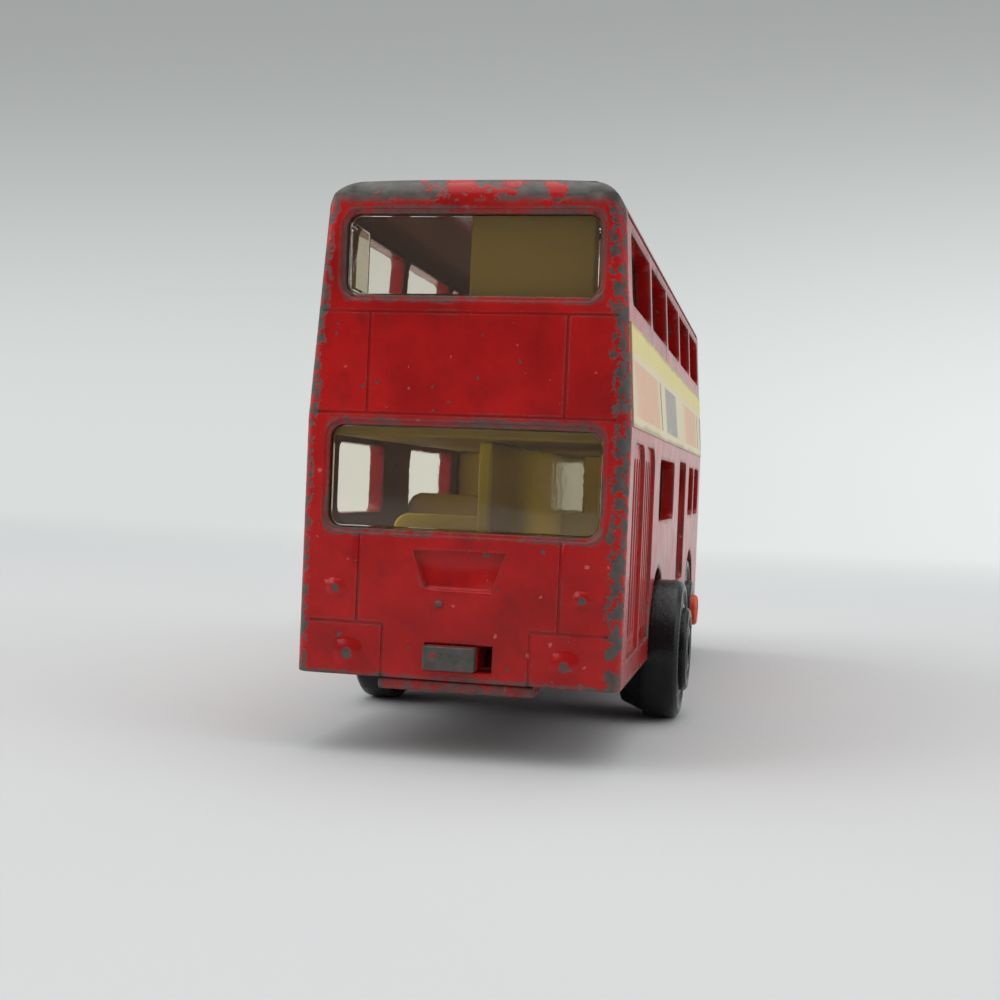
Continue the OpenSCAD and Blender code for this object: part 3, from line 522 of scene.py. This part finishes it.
    # Only a thin coat reached the inside
    thin_coat = (0.21, 0.11, 0.04)
    to_outside = w.lowest(to_side, w.minus(-1.0, beyond), w.minus(ROOF_Z - 0.2, z))
    within = w.times(w.rise(to_outside, 1.12, 1.18), w.rise(z, SKIRT_Z + 1.1, SKIRT_Z + 1.4))
    paint = w.blend(w.times(within, 0.85), paint, thin_coat)

    dark_zinc, grey_zinc = (0.042, 0.039, 0.036), (0.16, 0.15, 0.138)
    metal = w.blend(w.cloud(w.shifted(place, (2, 19, 5)), 0.7, 4.0, 0.6), dark_zinc, grey_zinc)
    w.feed(shader["Base Color"], w.blend(bare, paint, metal))
    w.feed(shader["Metallic"], w.times(bare, 0.45))
    gloss = w.spread(w.cloud(w.shifted(place, (14, 1, 6)), 2.4, 4.0, 0.6), 0.14, 0.32)
    w.feed(shader["Roughness"], w.plus(w.times(bare, 0.2), w.plus(gloss, w.times(within, 0.55))))
    surface = w.minus(w.times(w.group(GRAIN, Size=0.28), 0.6), bare)
    w.feed(shader["Normal"], w.bump(surface, 0.03, 0.8))
    return material


def make_olive_plastic(name, dark, light, smooth, dull):
    """Moulded plastic of the two decks, which lets some light through."""
    material, w, shader = finish(name, IOR=1.33, Subsurface_Weight=0.6,
                                 Subsurface_Radius=(1.4, 1.0, 0.1), Subsurface_Scale=MM)
    place = w.millimetres()
    soil_and_shade, dusty = (0.22, 0.15, 0.02), (0.5, 0.40, 0.11)
    base = w.blend(w.cloud(place, 6.0, 4.0, 0.5), dark, light)
    # Painted shade: the olive is darkened in lines and corners, where the room closes in
    base = w.blend(w.times(w.group(CREVICE_SHADE, Reach=0.7), 0.12), base, soil_and_shade)
    dust = w.group(DUST, Amount=0.1)
    w.feed(shader["Base Color"], w.blend(dust, base, dusty))
    gloss = w.spread(w.cloud(w.shifted(place, (4, 4, 9)), 1.8, 4.0, 0.6), smooth, dull)
    w.feed(shader["Roughness"], w.plus(gloss, w.times(dust, 0.5)))
    w.feed(shader["Normal"], w.bump(w.group(GRAIN, Size=1.4), 0.08, 0.6))
    return material


def make_clear_plastic():
    """Yellowed panes with fine upright scratches."""
    material, w, shader = finish("clear_plastic", IOR=1.46, Transmission_Weight=0.985)
    place = w.millimetres()
    yellowed, clear = (0.91, 0.86, 0.72), (0.96, 0.91, 0.80)
    w.feed(shader["Base Color"], w.blend(w.cloud(place, 7.0, 2.0, 0.5), yellowed, clear))
    upright = w.shifted(place, (0, 0, 0), scale=(5, 1, 0.35))
    scratches = w.rise(w.cloud(upright, 1.0, 5.0, 0.7), 0.5, 0.75)
    w.feed(shader["Roughness"], w.spread(scratches, 0.02, 0.12))
    w.feed(shader["Normal"], w.bump(w.group(GRAIN, Size=1.2), 0.02, 0.3))
    return material


def make_black_plastic():
    """Tyres and rear hubs, rubbed grey at their edges and a little dusty."""
    material, w, shader = finish("black_plastic", IOR=1.5, Specular_IOR_Level=0.3)
    place = w.millimetres()
    black, soft_black = (0.004, 0.0045, 0.005), (0.009, 0.0095, 0.010)
    rubbed_grey, dusty = (0.09, 0.095, 0.095), (0.17, 0.17, 0.165)
    base = w.blend(w.cloud(place, 2.0, 5.0, 0.6), black, soft_black)
    base = w.blend(w.times(w.group(WORN_EDGES, Reach=0.3, Amount=0.4), 0.5), base, rubbed_grey)
    dust = w.group(DUST, Amount=0.14)
    w.feed(shader["Base Color"], w.blend(dust, base, dusty))
    gloss = w.spread(w.cloud(w.shifted(place, (8, 3, 1)), 0.8, 4.0, 0.6), 0.18, 0.34)
    w.feed(shader["Roughness"], w.plus(gloss, w.times(dust, 0.3)))
    w.feed(shader["Normal"], w.bump(w.group(GRAIN, Size=0.26), 0.08, 0.8))
    return material


def make_orange_plastic():
    """Front hubs, with painted shade in the dish and paler at the rim."""
    material, w, shader = finish("orange_plastic", IOR=1.5)
    place = w.millimetres()
    orange, light_orange = (0.72, 0.05, 0.012), (0.86, 0.075, 0.02)
    dish_shade, pale = (0.16, 0.02, 0.008), (0.85, 0.30, 0.18)
    base = w.blend(w.cloud(place, 1.5, 4.0, 0.6), orange, light_orange)
    # Painted shade: the dish is darkened where the room closes in
    base = w.blend(w.times(w.group(CREVICE_SHADE, Reach=0.4), 0.5), base, dish_shade)
    rubbed = w.group(WORN_EDGES, Reach=0.25, Amount=0.36)
    w.feed(shader["Base Color"], w.blend(w.times(rubbed, 0.5), base, pale))
    w.feed(shader["Roughness"], w.spread(w.cloud(place, 0.7, 4.0, 0.6), 0.3, 0.45))
    w.feed(shader["Normal"], w.bump(w.group(GRAIN, Size=0.25), 0.03, 0.5))
    return material


def make_bright_steel():
    """Axles and rivet, tarnished in patches."""
    material, w, shader = finish("bright_steel", IOR=2.0)
    place = w.millimetres()
    grey, bright, brown = (0.42, 0.41, 0.39), (0.56, 0.55, 0.53), (0.16, 0.12, 0.085)
    tarnish = w.rise(w.cloud(w.shifted(place, (6, 6, 2)), 1.6, 5.0, 0.65), 0.5, 0.7)
    base = w.blend(w.cloud(place, 0.8, 4.0, 0.6), grey, bright)
    w.feed(shader["Base Color"], w.blend(w.times(tarnish, 0.6), base, brown))
    w.feed(shader["Metallic"], w.spread(tarnish, 1.0, 0.55))
    w.feed(shader["Roughness"], w.spread(tarnish, 0.28, 0.55))
    w.feed(shader["Normal"], w.bump(w.group(GRAIN, Size=0.2), 0.02, 0.5))
    return material


def make_printed_paper():
    """Side strips: a yellow band along the top over slanted blocks of peach, cream and grey."""
    material, w, shader = finish("printed_paper", IOR=1.45)
    place = w.millimetres()
    _x, y, z = w.axes(place)
    low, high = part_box("right_label")
    foot, top = low[2] * PER_MM, high[2] * PER_MM
    end = high[1] * PER_MM
    up = w.math("DIVIDE", w.minus(z, foot), top - foot)
    fade = w.cloud(place, 5.0, 4.0, 0.6)
    speckle = w.cloud(w.shifted(place, (7, 7, 7)), 0.35, 3.0, 0.6)
    cream = w.blend(fade, (0.78, 0.66, 0.40), (0.86, 0.77, 0.55))
    yellow = w.blend(fade, (0.82, 0.68, 0.22), (0.86, 0.76, 0.36))
    peach = w.blend(fade, (0.80, 0.47, 0.30), (0.84, 0.56, 0.40))
    grey = w.blend(fade, (0.36, 0.34, 0.30), (0.47, 0.45, 0.40))
    line_black, worn_paper, soil = (0.12, 0.11, 0.10), (0.74, 0.70, 0.60), (0.30, 0.22, 0.13)

    slant, period = 0.45, 46.0
    along = w.plus(w.plus(y, end), w.times(w.minus(z, foot), slant))
    step = w.math("FRACT", w.math("DIVIDE", along, period))
    sheet = cream
    for ink, start, full, fading, gone in ((peach, 0.0, 0.12, 0.42, 0.46), (grey, 0.56, 0.60, 0.80, 0.86),
                                           (line_black, 0.475, 0.48, 0.49, 0.495)):
        sheet = w.blend(w.times(w.rise(step, start, full), w.rise(step, gone, fading)), sheet, ink)
    border = w.times(w.rise(up, 0.10, 0.12), w.rise(up, 0.66, 0.64))
    sheet = w.blend(border, cream, sheet)
    sheet = w.blend(w.rise(up, 0.72, 0.74), sheet, yellow)

    # The print is rubbed thin in places and the rim is soiled
    rubbed = w.rise(w.plus(w.cloud(place, 2.2, 6.0, 0.7), w.times(speckle, 0.25)), 0.70, 0.80)
    sheet = w.blend(w.times(rubbed, 0.8), sheet, worn_paper)
    to_end = w.minus(end, w.absolute(y))
    to_rim = w.lowest(to_end, w.times(w.lowest(up, w.minus(1.0, up)), top - foot))
    soil_and_shade = w.rise(w.plus(to_rim, w.times(w.minus(fade, 0.5), 0.7)), 0.42, 0.05)
    w.feed(shader["Base Color"], w.blend(w.times(soil_and_shade, 0.55), sheet, soil))
    w.feed(shader["Roughness"], w.spread(speckle, 0.38, 0.6))
    w.feed(shader["Normal"], w.bump(w.group(GRAIN, Size=0.3), 0.02, 0.6))
    return material


red_enamel = make_red_enamel()
shiny_olive = make_olive_plastic("shiny_olive_plastic", dark=(0.84, 0.63, 0.008), light=(0.92, 0.70, 0.012),
                                 smooth=0.04, dull=0.11)
# The upper deck's plastic is the same yellow as the lower deck's; its darker, browner base is painted shade
shaded_olive = make_olive_plastic("shaded_olive_plastic", dark=(0.40, 0.27, 0.05), light=(0.50, 0.345, 0.06),
                                smooth=0.5, dull=0.7)
clear_plastic = make_clear_plastic()
black_plastic = make_black_plastic()
orange_plastic = make_orange_plastic()
bright_steel = make_bright_steel()
printed_paper = make_printed_paper()


# Castings, mouldings and panes

# Planes across X, Y and Z through the lamps, the catch, the windows, the doors and the louvres
BODY_CUTS = ((0, (-8.2, -7.2, -1.15, 0.0, 7.2, 8.2)),
             (1, (-28.3, -14.1, -8.0, 0.1, 9.75, 14.3, 21.6, 28.5)),
             (2, (12.5, 18.2, 32.7)))
# Each solid with the name of its dressed piece, the rounding of its edges, its slot, finish and cuts
CAST_PIECES = (("body_casting", "painted_body", 0.12, "red_paint", red_enamel, BODY_CUTS),
               ("baseplate", "painted_baseplate", 0.15, "red_paint", red_enamel, ()),
               ("lower_seats", "lower_saloon", 0.2, "olive_plastic", shiny_olive, ()),
               ("upper_deck", "upper_saloon", 0.2, "olive_plastic", shaded_olive, ()),
               ("rear_upper_pane", "rear_upper_glazing", 0.12, "clear_pane", clear_plastic, ()),
               ("rear_lower_pane", "rear_lower_glazing", 0.12, "clear_pane", clear_plastic, ()),
               ("front_upper_pane", "front_upper_glazing", 0.12, "clear_pane", clear_plastic, ()),
               ("front_lower_pane", "front_lower_glazing", 0.12, "clear_pane", clear_plastic, ()))
for node, name, width, slot, material, cuts in CAST_PIECES:
    dress(cast_copy(node, name, width, cuts), "bus", slot, material, node)

for node, material in (("base_rivet", bright_steel), ("rear_axle", bright_steel), ("front_axle", bright_steel),
                       ("right_label", printed_paper), ("left_label", printed_paper)):
    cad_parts[node].material_slots[0].material = material


# Wheels, in millimetres

BORE_R = 0.79
POCKET_R = 1.24
POCKET = 0.75
FRONT_BOSS_R = 3.1
FRONT_BOSS = 0.6
CONE = 1.8
DISH = 0.22
SINK = 0.05
HUB_PLAY = 0.01
HUB_CHAMFER = 0.2
HUB_DISH = 0.18
TYRE_ROUNDING = 0.1
HUB_ROUNDING = 0.06


def tyre_outline(node, hub_r, boss_r, boss):
    """Outline of a tyre: cone and step, crowned tread, lip, dished sidewall, and a boss if there is one."""
    low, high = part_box(node)
    inner, outer = low[0] * PER_MM, high[0] * PER_MM
    r = (high[1] - low[1]) / 2 * PER_MM
    step = inner + CONE
    face = outer - boss
    dish = face - DISH
    cone = [(inner, hub_r), (inner, r - 1.1), (step, r - 0.35)]
    tread = [(step, r - 0.05), (step + 0.5, r), (face - 0.75, r), (face - 0.3, r - 0.08)]
    lip = [(face, r - 0.42), (face, r - 0.75), (dish, r - 0.95)]
    middle = [(dish, boss_r + 0.45), (face - SINK, boss_r + 0.3)]
    if boss:
        middle = [(dish, boss_r + 0.3), (face - SINK, boss_r + 0.04), (outer - 0.15, boss_r),
                  (outer, boss_r - 0.15), (outer, hub_r + 0.5), (outer - SINK, hub_r + 0.4)]
    return [*cone, *tread, *lip, *middle, (outer - SINK, hub_r)]


def hub_outline(node):
    """Outline of a hub: bore, rim with a chamfer, a dished ring and the pocket of the axle's head."""
    low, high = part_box(node)
    inner, outer = low[0] * PER_MM, high[0] * PER_MM
    r = (high[1] - low[1]) / 2 * PER_MM
    land = (r - POCKET_R) * 0.3
    dish = outer - HUB_DISH
    rim = [(inner, BORE_R), (inner, r), (outer - 0.22, r), (outer, r - HUB_CHAMFER)]
    ring = [(outer, r - HUB_CHAMFER - land * 0.7), (dish, r - 0.3 - land * 0.9),
            (dish, POCKET_R + land), (outer, POCKET_R + land * 0.7)]
    pocket = [(outer, POCKET_R), (outer - POCKET, POCKET_R), (outer - POCKET, BORE_R)]
    return [*rim, *ring, *pocket]


def make_wheels(end, hub_slot, hub_material):
    """The tyre and hub of the right wheel, and their mirrored copies on the left."""
    low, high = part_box(f"{end}_right_tyre")
    axle = ((low[1] + high[1]) / 2, (low[2] + high[2]) / 2)
    hub_low, hub_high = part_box(f"{end}_right_hub")
    hub_r = (hub_high[1] - hub_low[1]) / 2 * PER_MM
    boss_r, boss = (FRONT_BOSS_R, FRONT_BOSS) if end == "front" else (hub_r, 0.0)
    outline = tyre_outline(f"{end}_right_tyre", hub_r + HUB_PLAY, boss_r, boss)
    tyre = turned(f"{end}_right_rubber", outline, axle, TYRE_ROUNDING)
    hub = turned(f"{end}_right_disc", hub_outline(f"{end}_right_hub"), axle, HUB_ROUNDING)
    left_tyre = mirrored(tyre, f"{end}_left_rubber")
    left_hub = mirrored(hub, f"{end}_left_disc")
    for side, rubber, disc in (("right", tyre, hub), ("left", left_tyre, left_hub)):
        wheel = f"{end}_{side}_wheel"
        dress(rubber, wheel, "black_plastic", black_plastic, f"{end}_{side}_tyre")
        dress(disc, wheel, hub_slot, hub_material, f"{end}_{side}_hub")


make_wheels("rear", "black_plastic", black_plastic)
make_wheels("front", "orange_plastic", orange_plastic)


# Stage, light and camera, in metres

SWEEP_WIDTH = 3.0
SWEEP_DEPTH = 1.3
SWEEP_SHIFT = -0.2
SWEEP_BEND = 0.35
SWEEP_STEPS = 24
SWEEP_WALL = 1.2
SOFTBOX_PLACE = (0.02, -0.03, 0.55)
SOFTBOX_SIZE = 0.7
SOFTBOX_WATTS = 2.1
CAMERA_PLACE = (0.0203925, -0.1252919, 0.0181795)
CAMERA_TURN = (89.30731, -2.36273, 11.55436)
CAMERA_LENS = 49.922
CAMERA_SENSOR = 36.0


def make_sweep_paper():
    """Pale paper that takes the shadow low down; beyond the bus the camera sees a painted glow in its place,
    greying towards its top.
    """
    material, w, shader = finish("sweep_paper", Roughness=0.9, IOR=1.3, Specular_IOR_Level=0.0)
    along, depth, height = w.axes(w.put("ShaderNodeTexCoord").outputs["Object"])
    mottle = w.cloud(w.millimetres(), 60.0, 3.0, 0.5)
    w.feed(shader["Base Color"], w.blend(mottle, (0.60, 0.61, 0.61), (0.63, 0.64, 0.64)))
    # Painted light: a glow lighter to the right and greyer towards the top stands in for the falloff of the
    # light
    left_tone, right_tone, top_tone = (0.69, 0.72, 0.71), (0.84, 0.87, 0.86), (0.36, 0.375, 0.37)
    low = w.blend(w.rise(along, -0.25, 0.25), left_tone, right_tone)
    painted_falloff = w.blend(w.rise(height, 0.03, 0.37), low, top_tone)
    glow = w.put("ShaderNodeEmission", {}, {"Color": painted_falloff}).outputs[0]
    ray = w.put("ShaderNodeLightPath").outputs
    seen = w.highest(ray["Is Camera Ray"], ray["Is Glossy Ray"], ray["Is Transmission Ray"])
    share = w.times(seen, w.rise(depth, 0.08, 0.36))
    nodes = {node.type: node for node in material.node_tree.nodes}
    both = w.put("ShaderNodeMixShader", {}, {0: share, 1: nodes["BSDF_PRINCIPLED"].outputs[0], 2: glow})
    w.feed(nodes["OUTPUT_MATERIAL"].inputs["Surface"], both.outputs[0])
    return material


def make_sweep():
    """A floor that bends up into a wall beyond the bus."""
    bpy.ops.object.select_all(action="DESELECT")
    bpy.ops.mesh.primitive_plane_add(size=1.0, location=(0, 0, 0))
    sweep = bpy.context.object
    sweep.name = "paper_sweep"
    edit(sweep)
    bpy.ops.transform.resize(value=(SWEEP_WIDTH, SWEEP_DEPTH, 1.0), center_override=(0, 0, 0))
    bpy.ops.transform.translate(value=(0, SWEEP_SHIFT, 0))
    bpy.ops.mesh.select_all(action="DESELECT")
    done()
    for vertex in sweep.data.vertices:
        vertex.select = vertex.co.y > 0
    for edge in sweep.data.edges:
        edge.select = all(sweep.data.vertices[i].select for i in edge.vertices)
    bpy.ops.object.mode_set(mode="EDIT")
    for i in range(SWEEP_STEPS):
        a0, a1 = (math.pi / 2 * k / SWEEP_STEPS for k in (i, i + 1))
        rise = SWEEP_BEND * (math.cos(a0) - math.cos(a1))
        run = SWEEP_BEND * (math.sin(a1) - math.sin(a0))
        bpy.ops.mesh.extrude_edges_move(TRANSFORM_OT_translate={"value": (0, run, rise)})
    bpy.ops.mesh.extrude_edges_move(TRANSFORM_OT_translate={"value": (0, 0, SWEEP_WALL)})
    bpy.ops.mesh.select_all(action="SELECT")
    bpy.ops.mesh.normals_make_consistent(inside=False)
    done()
    bpy.ops.object.shade_smooth()
    sweep.data.materials.append(make_sweep_paper())


def make_world():
    """Light that is bright on both sides, at the left rear and beyond the bus, and dim behind it."""
    world = bpy.data.worlds.new("studio")
    bpy.context.scene.world = world
    world.use_nodes = True
    w = Wiring(world.node_tree)
    aside, depth, up = w.axes(w.put("ShaderNodeTexCoord").outputs["Generated"])
    to_left, to_rear = w.times(aside, -1.0), w.times(depth, -1.0)
    dim, bright = (0.16, 0.16, 0.165), (0.78, 0.79, 0.80)
    side_light, rear_light = (1.7, 1.72, 1.75), (3.2, 3.2, 3.15)
    light = w.blend(w.rise(depth, -0.7, 0.3), dim, bright)
    beside = w.times(w.rise(w.absolute(aside), 0.5, 0.9), w.rise(up, 0.15, 0.45))
    light = w.blend(beside, light, side_light)
    left_rear = w.times(w.times(w.rise(to_left, 0.35, 0.6), w.rise(to_rear, 0.15, 0.4)),
                        w.rise(up, 0.28, 0.5))
    light = w.blend(left_rear, light, rear_light)

    # Past the ends of the sweep the camera sees a plain tone like the paper's
    plain = w.blend(w.rise(up, 0.0, 0.35), (0.74, 0.77, 0.76), (0.42, 0.435, 0.43))
    seen = w.put("ShaderNodeLightPath").outputs["Is Camera Ray"]
    w.feed(world.node_tree.nodes["Background"].inputs["Color"], w.blend(seen, light, plain))


def hang_softbox():
    lamp = bpy.data.lights.new("overhead_softbox", "AREA")
    lamp.shape = "RECTANGLE"
    lamp.size = lamp.size_y = SOFTBOX_SIZE
    lamp.energy = SOFTBOX_WATTS
    softbox = bpy.data.objects.new("overhead_softbox", lamp)
    bpy.context.scene.collection.objects.link(softbox)
    softbox.location = SOFTBOX_PLACE
    softbox.rotation_euler = (-Vector(SOFTBOX_PLACE)).to_track_quat("-Z", "Y").to_euler()


def place_camera():
    lens = bpy.data.cameras.new("camera")
    lens.sensor_width = CAMERA_SENSOR
    lens.lens = CAMERA_LENS
    lens.clip_start = 5 * MM
    camera = bpy.data.objects.new("camera", lens)
    bpy.context.scene.collection.objects.link(camera)
    camera.location = CAMERA_PLACE
    camera.rotation_euler = [math.radians(angle) for angle in CAMERA_TURN]
    bpy.context.scene.camera = camera


make_sweep()
make_world()
hang_softbox()
place_camera()
bpy.context.scene.view_settings.view_transform = "Standard"
